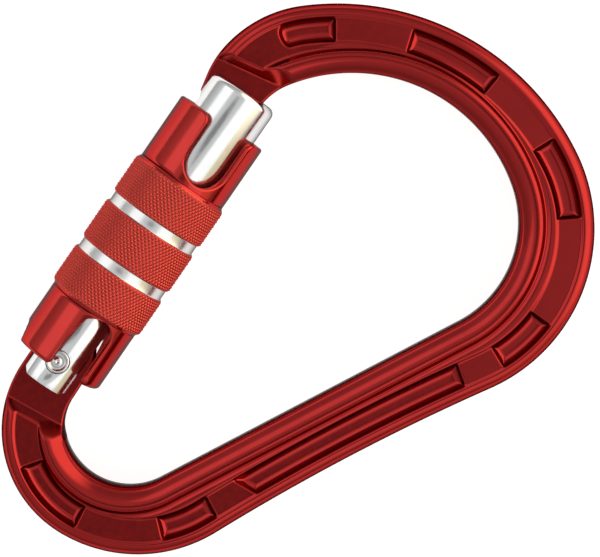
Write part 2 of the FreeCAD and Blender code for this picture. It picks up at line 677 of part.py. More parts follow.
notch("nose_notch", "notch_half", size("notch_bottom"), size("sleeve_top") + size("cut_above"),
      "dims.notch_angle")
notch("heel_notch", "heel_notch_half", size("heel_notch_top"),
      size("sleeve_bottom") - size("cut_above"), "dims.heel_notch_angle")
relief_sketch = new_sketch(sleeve, "relief_side", "XY_Plane")
rectangle(relief_sketch, "-dims.clear_cut", "-dims.relief_reach", "-dims.cut_above",
          "dims.relief_top")
slab(sleeve, "Pocket", "relief", relief_sketch, "dims.clear_cut")

# ---------------------------------------------------------------- what the sleeve hides

ring_body("retaining_ring", "clip_side", "dims.clip_groove", "dims.clip_radius",
          "dims.clip_bottom + dims.clip_gap", "dims.clip_bottom + dims.clip_width - dims.clip_gap")
ring_body("lower_bush", "lower_bush_side", "dims.bush_running", "dims.sleeve_bore",
          "dims.low_bush_bottom", "dims.low_bush_top")
ring_body("spring_seat", "spring_seat_side", "dims.bush_running + dims.seat_gap",
          "dims.sleeve_bore - dims.seat_rim", "dims.low_bush_top",
          "dims.low_bush_top + dims.seat_thickness")
ring_body("upper_bush", "upper_bush_side", "dims.bush_running", "dims.sleeve_bore",
          "dims.top_bush_bottom", "dims.top_bush_top")
coil("sleeve_spring", size("spring_mean"), size("spring_wire"),
     worth("dims.low_bush_top + dims.seat_thickness + dims.spring_wire + dims.spring_gap"),
     size("spring_top"), size("spring_pitch"))

track = new_body("track_ring")
track_sketch = new_sketch(track, "track_side", "XY_Plane")
rectangle(track_sketch, "dims.track_bore", "dims.sleeve_bore", "dims.track_bottom", "dims.track_top")
spun(track, "Revolution", "track_turned", track_sketch)
window_sketch = new_sketch(track, "window_sector", "XZ_Plane", offset="-dims.track_pin_height")


def around(radius, bearing):
    """A point about the gate's axis, at an angle from the front face towards the inside."""
    turn = math.radians(bearing)
    return V(radius * math.sin(turn), radius * math.cos(turn), 0)


PIN_BEARING = 180
slack = math.degrees(math.asin(size("track_window") / size("track_bore")))
window_end = PIN_BEARING + slack
window_begin = PIN_BEARING - size("sleeve_turn") - slack
window_middle = (window_begin + window_end) / 2
near_radius = size("window_near")
far_radius = size("window_far")
loop(window_sketch, [
    Part.Arc(around(near_radius, window_begin), around(near_radius, window_middle),
             around(near_radius, window_end)),
    Part.LineSegment(around(near_radius, window_end), around(far_radius, window_end)),
    Part.Arc(around(far_radius, window_end), around(far_radius, window_middle),
             around(far_radius, window_begin)),
    Part.LineSegment(around(far_radius, window_begin), around(near_radius, window_begin)),
])
slab(track, "Pocket", "track_window_cut", window_sketch, "dims.track_window")

# ---------------------------------------------------------------- check and write every piece

doc.recompute()
for thing in doc.Objects:
    if "Invalid" in thing.State or "Error" in thing.State:
        raise RuntimeError("%s did not recompute: %s" % (thing.Name, thing.State))
os.makedirs("parts", exist_ok=True)
for piece in pieces:
    shape = piece.Shape
    if shape.isNull() or not shape.isValid():
        raise RuntimeError("%s has no valid shape" % piece.Label)
    shape.exportStep("parts/%s.step" % piece.Label)
    print("%-16s %8.1f mm3, %d solid, %d faces" % (
        piece.Label, shape.Volume, len(shape.Solids), len(shape.Faces)))
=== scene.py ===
import json
import math

import bpy
import numpy as np
from mathutils import Matrix, Vector


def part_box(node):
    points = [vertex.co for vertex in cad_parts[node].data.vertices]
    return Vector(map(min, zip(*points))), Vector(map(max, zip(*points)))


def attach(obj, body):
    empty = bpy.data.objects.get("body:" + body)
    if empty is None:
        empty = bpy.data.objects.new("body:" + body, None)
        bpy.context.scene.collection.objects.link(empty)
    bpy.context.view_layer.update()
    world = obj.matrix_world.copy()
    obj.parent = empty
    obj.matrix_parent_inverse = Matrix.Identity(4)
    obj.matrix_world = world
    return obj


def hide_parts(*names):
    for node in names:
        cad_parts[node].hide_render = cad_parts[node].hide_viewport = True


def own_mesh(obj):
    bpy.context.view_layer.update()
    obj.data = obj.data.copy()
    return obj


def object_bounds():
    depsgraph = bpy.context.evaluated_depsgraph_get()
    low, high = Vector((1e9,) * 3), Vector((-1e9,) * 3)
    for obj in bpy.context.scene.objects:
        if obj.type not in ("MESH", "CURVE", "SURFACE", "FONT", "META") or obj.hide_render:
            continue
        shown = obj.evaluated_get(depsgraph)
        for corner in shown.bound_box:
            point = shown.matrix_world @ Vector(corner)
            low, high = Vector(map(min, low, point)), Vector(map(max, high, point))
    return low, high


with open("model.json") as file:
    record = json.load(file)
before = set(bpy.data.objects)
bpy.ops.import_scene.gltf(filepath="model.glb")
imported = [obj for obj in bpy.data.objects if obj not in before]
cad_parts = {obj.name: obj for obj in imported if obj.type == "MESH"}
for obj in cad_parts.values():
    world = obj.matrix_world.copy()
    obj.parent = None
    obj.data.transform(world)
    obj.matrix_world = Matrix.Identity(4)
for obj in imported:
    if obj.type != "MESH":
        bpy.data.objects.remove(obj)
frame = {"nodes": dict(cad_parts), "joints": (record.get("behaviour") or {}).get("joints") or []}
cad_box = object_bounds()


def joint(name):
    return next(found for found in frame["joints"] if found["name"] == name)


# Shapes are worked out in millimetres in the gate's own frame, as the CAD is: the hinge axis is the
# origin, +Y runs up the gate to the nose, +X across to the spine and +Z out of the front face.
MM = 0.001
HINGE = np.array(joint("gate_hinge")["pos_m"])

# ---------------------------------------------------------------- mesh helpers


def in_row_frame(points):
    """Millimetres from the hinge to metres in the row frame."""
    return np.asarray(points, float) * MM + HINGE


def mesh_piece(name, points, faces, materials, face_material=None):
    """A smooth-shaded mesh object from points in millimetres, with one or more materials."""
    mesh = bpy.data.meshes.new(name)
    mesh.from_pydata(in_row_frame(points).tolist(), [], faces)
    mesh.update()
    for material in materials:
        mesh.materials.append(material)
    if face_material is not None:
        mesh.polygons.foreach_set("material_index", np.asarray(face_material, np.int32))
    mesh.polygons.foreach_set("use_smooth", [True] * len(mesh.polygons))
    mesh.validate()
    piece = bpy.data.objects.new(name, mesh)
    bpy.context.scene.collection.objects.link(piece)
    return piece


def grid_faces(rows, columns, wrap_rows=False, wrap_columns=False, flip=False):
    """Quads over a grid of rows by columns, numbered row by row."""
    down = np.arange(rows if wrap_rows else rows - 1)
    along = np.arange(columns if wrap_columns else columns - 1)
    row, column = (a.ravel() for a in np.meshgrid(down, along, indexing="ij"))
    below = (row + 1) % rows
    right = (column + 1) % columns
    corners = [row * columns + column, row * columns + right,
               below * columns + right, below * columns + column]
    return np.stack(corners[::-1] if flip else corners, axis=1)


def tube_faces(rows, columns, flip=False):
    """Faces over a row of rings of points, with a flat cap at both ends."""
    first = list(range(columns))
    last = list(range((rows - 1) * columns, rows * columns))
    caps = [first, last[::-1]] if flip else [first[::-1], last]
    return grid_faces(rows, columns, wrap_columns=True, flip=flip).tolist() + caps


def smooth_step(low, high, value):
    share = np.clip((value - low) / (high - low), 0.0, 1.0)
    return share * share * (3 - 2 * share)


def soft_min(a, b, width):
    """The lower of two heights, blended where they are within width of each other."""
    near = np.clip(1 - np.abs(a - b) / width, 0.0, 1.0)
    return np.minimum(a, b) - near * near * width / 4


def soft_max(a, b, width):
    return -soft_min(-a, -b, width)


def edge_round(distance, radius):
    """How far a rounded edge has dropped at a distance in from it."""
    inside = np.clip(distance, 0.0, radius)
    return radius - np.sqrt(radius * radius - (radius - inside) ** 2)


# ---------------------------------------------------------------- outlines as chains of arcs

END_REACH = 30.0        # how far a chain's straight ends count when distances are taken
FAR = 1e9
BEARING_SLACK = 1e-6


class Chain:
    """A smooth path of arcs and straight runs. A run is (radius, turn in degrees), with a positive
    radius for a left turn, or (None, length). Both ends run on straight."""

    def __init__(self, x, y, heading, runs):
        self.legs = []
        point = np.array([x, y], float)
        heading = math.radians(heading)
        station = 0.0
        for radius, amount in runs:
            length = amount if radius is None else abs(radius) * math.radians(amount)
            turn = 0.0 if radius is None else math.copysign(math.radians(amount), radius)
            self.legs.append((station, length, point, heading, radius, turn))
            point, heading = self.step(point, heading, radius, turn, length)
            station += length
        self.length = station
        self.tail = (point, heading)

    @staticmethod
    def step(point, heading, radius, turn, length):
        """The point and heading after part of a run."""
        if radius is None:
            return point + length * np.array([math.cos(heading), math.sin(heading)]), heading
        turned = heading + turn
        move = [math.sin(turned) - math.sin(heading), math.cos(heading) - math.cos(turned)]
        return point + radius * np.array(move), turned

    def at(self, station):
        """(point, heading) at a station, which may lie beyond either end."""
        if station >= self.length:
            point, heading = self.tail
            return self.step(point, heading, None, 0.0, station - self.length)
        start, length, point, heading, radius, turn = max(
            (leg for leg in self.legs if leg[0] <= max(station, 0.0)), key=lambda leg: leg[0])
        part = station - start
        if station < 0 or radius is None:
            return self.step(point, heading, None, 0.0, part)
        return self.step(point, heading, radius, turn * part / length, part)

    def distance(self, points):
        """How far each point is from the chain."""
        best = np.full(points.shape[:-1], FAR)
        _, _, first_point, first_heading, _, _ = self.legs[0]
        straights = [(first_point, first_heading, -END_REACH), (*self.tail, END_REACH)]
        for _, length, point, heading, radius, turn in self.legs:
            if radius is None:
                straights.append((point, heading, length))
                continue
            centre = point + radius * np.array([-math.sin(heading), math.cos(heading)])
            off = points - centre
            middle = heading + turn / 2 - math.copysign(math.pi / 2, radius)
            bearing = np.arctan2(off[..., 1], off[..., 0]) - middle
            bearing = np.abs((bearing + math.pi) % (2 * math.pi) - math.pi)
            gap = np.abs(np.hypot(off[..., 0], off[..., 1]) - abs(radius))
            best = np.where(bearing <= abs(turn) / 2 + BEARING_SLACK, np.minimum(best, gap), best)
        for point, heading, length in straights:
            along = np.array([math.cos(heading), math.sin(heading)])
            off = points - point
            run = np.clip(off @ along, min(length, 0.0), max(length, 0.0))
            gap = np.linalg.norm(off - run[..., None] * along, axis=-1)
            best = np.minimum(best, gap)
        return best


# both outlines of the frame run from the hinge round the narrow end, up the spine and round the
# wide end to the nose, with the same arcs as the CAD
INNER = Chain(6.08, -4.71, -90, [
    (9.7, 61.15),       # heel
    (12.37, 91.21),     # narrow end
    (None, 63.09),      # spine
    (20.64, 82.13),     # corner
    (31.72, 91.95),     # basket
    (12.26, 26.91),     # throat
    (None, 5.85)])      # nose
OUTER = Chain(-5.33, -4.32, -90, [
    (22.37, 92.69),     # narrow end
    (27.73, 63.67),     # toe
    (-425.8, 7.76),     # waist
    (32.1, 92.51),      # corner
    (49.41, 70.95),     # basket
    (23.29, 40.52),     # brow
    (18.13, 19.42),     # nose
    (None, 2.88)])      # nose's end

# ---------------------------------------------------------------- node helpers


def rgba(colour):
    return (*colour, 1.0)


def feed(links, socket, value):
    """Links another node's output to a socket, or gives the socket a plain value."""
    if isinstance(value, bpy.types.NodeSocket):
        links.new(value, socket)
    else:
        socket.default_value = value


def colour_mix(nodes, links, share, first, second):
    """Mixes two colours, each an output or a plain one, by a share from 0 to 1."""
    mix = nodes.new("ShaderNodeMix")
    mix.data_type = "RGBA"
    for name, value in (("Factor", share), ("A", first), ("B", second)):
        feed(links, mix.inputs[name], value)
    return mix.outputs["Result"]


def calculate(nodes, links, operation, *values):
    """A math node, fed by outputs or plain numbers."""
    made = nodes.new("ShaderNodeMath")
    made.operation = operation
    for socket, value in zip(made.inputs, values):
        feed(links, socket, value)
    return made.outputs["Value"]


def spread(nodes, links, value, low, high, start=0.3, end=0.7, smooth=False):
    """Maps a value from start..end to low..high. Noise lies mostly within 0.3..0.7."""
    remap = nodes.new("ShaderNodeMapRange")
    if smooth:
        remap.interpolation_type = "SMOOTHSTEP"
    for name, number in (("From Min", start), ("From Max", end), ("To Min", low), ("To Max", high)):
        remap.inputs[name].default_value = number
    links.new(value, remap.inputs["Value"])
    return remap.outputs["Result"]


def noise(nodes, links, place, scale, detail=3.0, roughness=0.5, stretch=(1, 1, 1)):
    mapping = nodes.new("ShaderNodeMapping")
    mapping.inputs["Scale"].default_value = stretch
    links.new(place, mapping.inputs["Vector"])
    texture = nodes.new("ShaderNodeTexNoise")
    texture.inputs["Scale"].default_value = scale
    texture.inputs["Detail"].default_value = detail
    texture.inputs["Roughness"].default_value = roughness
    links.new(mapping.outputs["Vector"], texture.inputs["Vector"])
    return texture.outputs["Fac"]


def split_axes(nodes, links, vector):
    axes = nodes.new("ShaderNodeSeparateXYZ")
    links.new(vector, axes.inputs["Vector"])
    return axes.outputs


# ---------------------------------------------------------------- materials

CLOUD_SCALE = 140.0     # of the slow changes of colour, in noise cells per metre
COAT_ROUGHNESS = 0.12
COAT_IOR = 1.9
WALL_DULLING = 0.22     # how much rougher a skin is where it stands upright
WALL_TILT = (0.22, 0.68)        # the normal's upward part at a wall, and where the wall has ended
COAT_GONE = 0.6         # how upright a skin stands where its coat has faded away


def new_material(name):
    material = bpy.data.materials.new(name)
    material.use_nodes = True
    nodes, links = material.node_tree.nodes, material.node_tree.links
    shader = nodes["Principled BSDF"]
    place = nodes.new("ShaderNodeTexCoord").outputs["Object"]
    return material, nodes, links, shader, place


def bump(nodes, links, shader, value, depth):
    made = nodes.new("ShaderNodeBump")
    made.inputs["Distance"].default_value = depth
    links.new(value, made.inputs["Height"])
    links.new(made.outputs["Normal"], shader.inputs["Normal"])


def uprightness(nodes, links):
    """1 where the surface stands upright and 0 where it faces up or down, with a soft change."""
    normal = nodes.new("ShaderNodeTexCoord").outputs["Normal"]
    upward = calculate(nodes, links, "ABSOLUTE", split_axes(nodes, links, normal)["Z"])
    return spread(nodes, links, upward, 1.0, 0.0, *WALL_TILT, smooth=True)


def shade_and_dull_walls(nodes, links, shader, colour, gloss, coat, wall):
    """The colour and gloss of a skin with painted shade where it stands upright: darker there, and also
    duller and uncoated.
    """
    upright = uprightness(nodes, links)
    links.new(spread(nodes, links, upright, coat, 0.0, 0.0, COAT_GONE), shader.inputs["Coat Weight"])
    # the wall colour mixed in where the skin stands upright is painted shade
    return (colour_mix(nodes, links, upright, colour, rgba(wall)),
            calculate(nodes, links, "MULTIPLY_ADD", upright, WALL_DULLING, gloss))


def metal(name, first, second, rough, coat=0.0, grain=(1, 1, 1), grain_scale=900.0, grain_depth=2e-6,
          metallic=1.0, edge=(1.0, 1.0, 1.0), wall=None):
    """Metal with cloudy colour, uneven gloss and a fine grain, which may run one way. With a wall
    colour, its skin is painted that darker colour as shade where it stands upright, and is duller there."""
    material, nodes, links, shader, place = new_material(name)
    cloud = noise(nodes, links, place, CLOUD_SCALE)
    colour = colour_mix(nodes, links, cloud, rgba(first), rgba(second))
    fine = noise(nodes, links, place, grain_scale, detail=4.0, roughness=0.6, stretch=grain)
    gloss = spread(nodes, links, fine, *rough)
    if wall:
        # painted shade on upright walls, and a duller, uncoated skin there
        colour, gloss = shade_and_dull_walls(nodes, links, shader, colour, gloss, coat, wall)
    links.new(colour, shader.inputs["Base Color"])
    links.new(gloss, shader.inputs["Roughness"])
    bump(nodes, links, shader, fine, grain_depth)
    shader.inputs["Metallic"].default_value = metallic
    shader.inputs["Specular Tint"].default_value = rgba(edge)
    shader.inputs["Coat Weight"].default_value = coat
    shader.inputs["Coat Roughness"].default_value = COAT_ROUGHNESS
    shader.inputs["Coat IOR"].default_value = COAT_IOR
    return material


def paper():
    """The floor's pale paper, which glows a little so that it stays even."""
    material, nodes, links, shader, place = new_material("pale_paper")
    cloud = noise(nodes, links, place, 30.0)
    colour = colour_mix(nodes, links, cloud, rgba((0.48, 0.48, 0.48)), rgba((0.51, 0.51, 0.51)))
    links.new(colour, shader.inputs["Base Color"])
    shader.inputs["Roughness"].default_value = 0.9
    shader.inputs["Emission Color"].default_value = rgba((1.0, 1.0, 1.0))
    shader.inputs["Emission Strength"].default_value = 0.80
    shader.inputs["Specular IOR Level"].default_value = 0.1
    return material


RED = metal("anodised_red", (0.43, 0.018, 0.014), (0.52, 0.024, 0.018), (0.12, 0.20), coat=0.17,
            edge=(0.06, 0.015, 0.015))
# the frame's wall colour is painted shade, darker where its skin stands upright
DEEP_RED = metal("anodised_deep_red", (0.33, 0.011, 0.011), (0.40, 0.016, 0.014), (0.14, 0.22),
                 coat=0.12, edge=(0.05, 0.01, 0.01), wall=(0.11, 0.006, 0.006))
BORE_RED = metal("anodised_satin_bore", (0.56, 0.036, 0.028), (0.64, 0.044, 0.034), (0.42, 0.54),
                 metallic=0.25)
RED_KNURL = metal("anodised_red_knurl", (0.46, 0.034, 0.022), (0.58, 0.046, 0.030), (0.14, 0.24),
                  coat=0.20, edge=(0.25, 0.08, 0.06))
POLISHED = metal("polished_aluminium", (0.72, 0.73, 0.73), (0.80, 0.80, 0.80), (0.10, 0.20),
                 edge=(0.20, 0.20, 0.20))
TURNED = metal("turned_aluminium", (0.70, 0.71, 0.70), (0.80, 0.80, 0.79), (0.16, 0.30),
               grain=(1, 12, 1), grain_scale=700.0, grain_depth=4e-6, edge=(0.16, 0.13, 0.12))
STEEL = metal("rivet_steel", (0.66, 0.66, 0.66), (0.78, 0.78, 0.77), (0.16, 0.28), edge=(0.3, 0.3, 0.3))
SPRING = metal("spring_steel", (0.42, 0.43, 0.45), (0.55, 0.56, 0.58), (0.22, 0.36))
BUSH = metal("bush_polymer", (0.02, 0.02, 0.022), (0.035, 0.035, 0.037), (0.42, 0.55), metallic=0.0)

# ---------------------------------------------------------------- the forged frame

BEAD_RADIUS = 3.05
BEAD_TOP = 5.6
WALL_TOP = BEAD_TOP - BEAD_RADIUS
VALLEY = 4.5            # how far in the valley behind the bead lies
VALLEY_HEIGHT = 4.2
SHOULDER_HEIGHT = 4.6
SHOULDER_RISE = (-0.2, 0.9)     # where the shoulder's rise begins and ends, from the valley
SHOULDER_FALL = 0.05    # how fast it falls away past its rise, per square millimetre
SHOULDER_BLEND = 0.7
LAND_BLEND = 0.9
CHANNEL_INNER = 7.2     # the channel's sides, measured in from the outer outline
CHANNEL_OUTER = 2.5
CHANNEL_STEP = (0.15, -0.25)    # where the step down to the land begins and ends, from its side
LAND_HEIGHT = 4.15
RIM_HEIGHT = 4.45
RIM_CREST = 2.25
RIM_WALL = 1.5
RIM_STEP = 0.2          # half the width of the rim's step up from the land
EDGE_RADIUS = 0.35
PLAIN_NOSE = (226.0, 240.0)     # the stations where the shoulder and the valley die away
POCKET_DEPTH = 1.45
POCKET_WALL = 1.9
POCKET_WALL_POWER = 2.4
POCKET_LIP = (-0.05, 0.35)
CORNER = 0.7            # the pockets' corner radius in plan
WIDE_CORNER = 2.1       # the last pocket's end is rounder

# the pockets as (begin, end, lean of the begin, lean of the end, corner radius at the end): stations
# along the outer outline, where a lean is how much later the line is at the rim than at the bead
POCKETS = [
    (20.9, 38.6, 0.0, 0.0, CORNER),
    (56.4, 69.4, 0.3, -0.3, CORNER),
    (74.6, 121.1, 2.6, -0.4, CORNER),
    (128.5, 141.6, 0.0, 0.0, CORNER),
    (164.1, 181.4, 0.0, 0.0, CORNER),
    (197.1, 216.5, 0.0, 0.0, CORNER),
    (231.4, 243.9, 0.0, 0.0, WIDE_CORNER)]

# the two flat tongues under the gate's ends and the ramps that lead down to them
TONGUE = 2.5            # half the tongues' thickness
HINGE_RAMP_FOOT = -10.4
HINGE_RAMP_LEAN = 0.096
NOSE_RAMP_FOOT = 63.8
NOSE_RAMP_LEAN = 0.176
RAMPS_END = 14.0        # the ramps are only this near the gate's axis
MIDWAY = 20.0           # the hinge's ramp lies below this height and the nose's above it
NO_RAMP = 99.0
RAMP_BLEND = 0.35


def pocket_depth(station, from_outer):
    """How deep the pockets' floors lie under the land, 0 outside them."""
    deepest = np.zeros_like(from_outer)
    across = np.minimum(from_outer - CHANNEL_OUTER, CHANNEL_INNER - from_outer)
    share = (CHANNEL_INNER - from_outer) / (CHANNEL_INNER - CHANNEL_OUTER)
    for begin, end, begin_lean, end_lean, end_radius in POCKETS:
        after = station - begin - begin_lean * share
        before = end + end_lean * share - station
        corner = np.where(before < after, end_radius, CORNER)
        over_end = corner - np.minimum(after, before)
        over_side = corner - across
        rounded = np.hypot(over_end.clip(0), over_side.clip(0))
        inside = corner - rounded - np.minimum(np.maximum(over_end, over_side), 0.0)
        share_in = np.clip(inside / POCKET_WALL, 0.0, 1.0)
        wall = (1 - (1 - share_in) ** POCKET_WALL_POWER) * smooth_step(*POCKET_LIP, inside)
        deepest = np.maximum(deepest, POCKET_DEPTH * wall)
    return deepest


def bead_height(from_inner):
    """The rope bead's round side, and behind its crest the fall to the valley."""
    side = WALL_TOP + np.sqrt(np.clip(BEAD_RADIUS ** 2 - (BEAD_RADIUS - from_inner) ** 2, 0, None))
    behind = (from_inner - BEAD_RADIUS) / (VALLEY - BEAD_RADIUS)
    fall = BEAD_TOP - (BEAD_TOP - VALLEY_HEIGHT) * behind ** 2
    return np.where(from_inner < BEAD_RADIUS, side, fall)


def shoulder_height(from_inner):
    """The low shoulder between the valley and the channel."""
    begin, end = SHOULDER_RISE
    risen = smooth_step(VALLEY + begin, VALLEY + end, from_inner)
    shoulder = SHOULDER_HEIGHT - (SHOULDER_HEIGHT - VALLEY_HEIGHT) * (1 - risen)
    return shoulder - SHOULDER_FALL * (from_inner - VALLEY - end).clip(0) ** 2


def ramp_height(x, y):
    """The ramps that lead down to the tongues, and a great height away from them."""
    hinge_ramp = TONGUE + np.maximum(HINGE_RAMP_FOOT + HINGE_RAMP_LEAN * x - y, 0.0)
    nose_ramp = TONGUE + np.maximum(y - NOSE_RAMP_FOOT - NOSE_RAMP_LEAN * x, 0.0)
    hinge_zone = (x < RAMPS_END) & (y < MIDWAY)
    nose_zone = (x < RAMPS_END) & (y > MIDWAY)
    return np.where(hinge_zone, hinge_ramp, np.where(nose_zone, nose_ramp, NO_RAMP))


def face_height(points, station, from_inner, from_outer):
    """The height of the front face over the middle plane."""
    bead = bead_height(from_inner)
    surface = soft_max(bead, shoulder_height(from_inner), SHOULDER_BLEND)
    # towards the nose the bead falls straight to the land
    plain = smooth_step(*PLAIN_NOSE, station)
    surface = surface + (soft_max(bead, LAND_HEIGHT, LAND_BLEND) - surface) * plain
    step_begin, step_end = CHANNEL_STEP
    step = smooth_step(CHANNEL_INNER + step_begin, CHANNEL_INNER + step_end, from_outer)
    surface = surface + (LAND_HEIGHT - surface) * step
    rim_rise = smooth_step(CHANNEL_OUTER + RIM_STEP, CHANNEL_OUTER - RIM_STEP, from_outer)
    rim_share = np.clip((RIM_CREST - from_outer) / RIM_CREST, 0.0, 1.0)
    rim = RIM_WALL + (RIM_HEIGHT - RIM_WALL) * np.sqrt(1 - rim_share ** 2)
    surface = surface + (rim - surface) * rim_rise
    surface = surface - pocket_depth(station, from_outer) * step * (1 - rim_rise)
    edge = edge_round(np.minimum(from_inner, from_outer), EDGE_RADIUS)
    return soft_min(surface, ramp_height(points[..., 0], points[..., 1]) - edge, RAMP_BLEND)


FULL_WIDTH = 13.0       # a narrower bar has its places drawn together in proportion
BEHIND_BEAD = 5.2       # the places are close together up to here from the inner outline
CHANNEL_MARGIN = 0.5
TURN_PLACES = 12        # over the bead's round side and over the rim's
BEHIND_PLACES = 12
CHANNEL_PLACES = 27
MIDDLE_PLACES = 8


def across_places(width):
    """Places across the bar, measured in from the inner outline, close together at the features."""
    scale = min(1.0, width / FULL_WIDTH)
    turn = np.radians(np.linspace(0.0, 90.0, TURN_PLACES))
    bead = BEAD_RADIUS * (1 - np.cos(turn))
    behind = np.linspace(BEAD_RADIUS, BEHIND_BEAD, BEHIND_PLACES)[1:]
    rim = (RIM_CREST * (1 - np.cos(turn)))[::-1]
    channel = np.linspace(CHANNEL_INNER + CHANNEL_MARGIN, RIM_CREST, CHANNEL_PLACES)[:-1]
    inner_part = np.concatenate([bead, behind]) * scale
    outer_part = width - np.concatenate([channel, rim]) * scale
    middle = np.linspace(inner_part[-1], outer_part[0], MIDDLE_PLACES)[1:-1]
    return np.concatenate([inner_part, middle, outer_part])


FINE_STEP = 0.2
COARSE_STEP = 0.6
NEAR_POCKET_END = 2.6
LEANING_END = (74.0, 80.0)      # the stations of the long pocket's leaning end
HINGE_STRETCH = 14.0    # the stretches of the bar at the tongues
NOSE_STRETCH = 16.0


def frame_stations():
    """Stations along the outer outline, close together at the ends of pockets and the ramps."""
    stations = [0.0]
    marks = [place for pocket in POCKETS for place in pocket[:2]]
    while stations[-1] < OUTER.length:
        here = stations[-1]
        at_pocket_end = min(abs(here - mark) for mark in marks) < NEAR_POCKET_END
        at_lean = LEANING_END[0] < here < LEANING_END[1]
        at_tongue = here < HINGE_STRETCH or here > OUTER.length - NOSE_STRETCH
        stations.append(here + (FINE_STEP if at_pocket_end or at_lean or at_tongue else COARSE_STEP))
    stations[-1] = OUTER.length
    return np.array(stations)


OVERRUN = 2.0           # how far past its ends the inner outline is searched
TRIALS = 4000
BACKSTEP = 1.0          # a partner may lie this much before the last one
NARROWEST, WIDEST = 5, 20       # limits on the width of the bar
NOSE_TAPER = 14.0       # over this length the partners close up to the inner outline's end


def matching_inner(stations):
    """For each station on the outer outline, the station on the inner one that lies square across."""
    trial = np.linspace(-OVERRUN, INNER.length + OVERRUN, TRIALS)
    spots = np.array([INNER.at(station)[0] for station in trial])
    found = []
    last = -OVERRUN
    for station in stations:
        point, heading = OUTER.at(station)
        inward = np.array([-math.sin(heading), math.cos(heading)])
        along = np.array([math.cos(heading), math.sin(heading)])
        off = spots - point
        ahead = off @ along
        crossing = [k for k in np.nonzero((ahead[:-1] < 0) != (ahead[1:] < 0))[0]
                    if NARROWEST < off[k] @ inward < WIDEST and trial[k] > last - BACKSTEP]
        if crossing:
            last = trial[min(crossing, key=lambda k: off[k] @ inward)]
        found.append(last)
    found = np.array(found)
    taper = OUTER.length - NOSE_TAPER
    start = np.interp(taper, stations, found)
    closing = start + (stations - taper) / NOSE_TAPER * (INNER.length - start)
    return np.where(stations > taper, closing, found)


CAM_RADIUS = 5.5
CAM_OFFSET = 2.5        # how far the cam's centre lies from the hinge axis towards the spine
CAM_POINTS = 10
CAM_TOP = (10.5, 10)    # bearings from the gate's axis where the cam's two halves begin, in degrees
CAM_ENDS = (42, -38)    # and where they end
SPINE_SIDE = [[6.0, 2.4], [6.0, -1.2], [6.05, -3.2]]
OPEN_SIDE = [[-5.05, 1.7], [-5.33, 0.4], [-5.33, -2.6]]


def cam_point(degrees):
    """Where a line from the hinge axis meets the round cam that the plunger runs on."""
    bearing = math.radians(degrees)
    reach = CAM_OFFSET * math.sin(bearing) + math.sqrt(
        CAM_RADIUS ** 2 - (CAM_OFFSET * math.cos(bearing)) ** 2)
    return [reach * math.sin(bearing), reach * math.cos(bearing)]


def tongue_tip():
    """The hinge tongue's rounded end as pairs of points, from the tip down to the bar's first section."""
    halves = [[cam_point(a) for a in np.linspace(begin, end, CAM_POINTS)]
              for begin, end in zip(CAM_TOP, CAM_ENDS)]
    return list(zip(halves[0] + SPINE_SIDE, halves[1] + OPEN_SIDE))


def section_ring(near, far, station):
    """One closed section of the frame between two points. The tongue's tip has no station."""
    width = np.linalg.norm(far - near)
    places = across_places(width) / width
    points = near + places[:, None] * (far - near)
    if station is None:
        reach = width * np.minimum(places, 1 - places)
        height = TONGUE - edge_round(reach, min(EDGE_RADIUS, width / 2))
    else:
        height = face_height(points, np.full(len(points), station),
                             INNER.distance(points), OUTER.distance(points))
    front = np.column_stack([points, height])
    back = np.column_stack([points, -height])[::-1]
    return np.concatenate([front, back])


NOSE_WAY = np.array([0.12, -0.993, 0.0])        # the way that the nose's end face looks
NOSE_ROUNDING = [(0.02, 0.12), (0.07, 0.28)]    # (how far drawn in, how far out) of its rings
NOSE_THINNING = 1.6     # the end thins this many times as fast as it is drawn in


def nose_end(last_ring):
    """The blunt nose end: the last section drawn in to a rounded edge."""
    centre = last_ring.mean(axis=0)
    drawn_in = []
    for share, out in NOSE_ROUNDING:
        drawn = last_ring + (centre - last_ring) * share
        drawn[:, 2] = last_ring[:, 2] * (1 - share * NOSE_THINNING)
        drawn_in.append(drawn + NOSE_WAY * out)
    return drawn_in


def forged_frame():
    """The points and faces of the whole frame, from the hinge tongue's tip to the nose."""
    rings = [section_ring(np.array(near), np.array(far), None) for near, far in tongue_tip()]
    stations = frame_stations()
    for station, partner in zip(stations, matching_inner(stations)):
        rings.append(section_ring(INNER.at(partner)[0], OUTER.at(station)[0], station))
    rings += nose_end(rings[-1])
    return np.concatenate(rings), tube_faces(len(rings), len(rings[0]))


frame_piece = mesh_piece("frame_forging", *forged_frame(), [DEEP_RED])
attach(frame_piece, "frame")
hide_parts("frame")

# ---------------------------------------------------------------- the locking sleeve

SLEEVE_BORE = 7.75
BORE_SKIN = 8.0         # faces nearer the axis than this keep the satin skin of the bore
SLEEVE_RADIUS = 9.0
KNURL_RADIUS = 9.65
KNURL_DEPTH = 0.38
KNURL_FLAT = 0.15       # the share of a diamond that stays flat on top
KNURL_STARTS = 72
KNURL_STRETCH = 1.25    # how much longer a diamond is along the sleeve than round it
COLUMNS_PER_START = 7
ROW_PITCH = 0.105
SLEEVE_BOTTOM, SLEEVE_TOP = -0.9, 53.3
KNURL_BOTTOM, KNURL_TOP = 11.9, 39.6
SHOULDER = 0.55         # the smooth shoulder at both ends of the knurled stretch
BARREL_BOTTOM, BARREL_TOP = KNURL_BOTTOM - SHOULDER, KNURL_TOP + SHOULDER
KNURL_MARGIN = 0.15     # between a knurled field's edge and its first row
KNURL_BEVEL = 0.25      # how much lower a field's edge lies
BEVEL_RUN = (0.1, 0.45)
CUT_RUN = (0.12, 0.4)   # over which the knurl's cuts get to their full depth
BANDS = (19.6, 29.8)
BAND_WIDTH = 2.0
BAND_RADIUS = 9.1
BAND_WALL = 0.35        # how far under the knurl's points the bands' walls end
BAND_FILLET = 0.02
NOTCH_EDGE = 0.38

SMOOTH_SKIN, KNURL_SKIN, BARE_SKIN, SATIN_SKIN = range(4)
SLEEVE_SKINS = [RED, RED_KNURL, TURNED, BORE_RED]


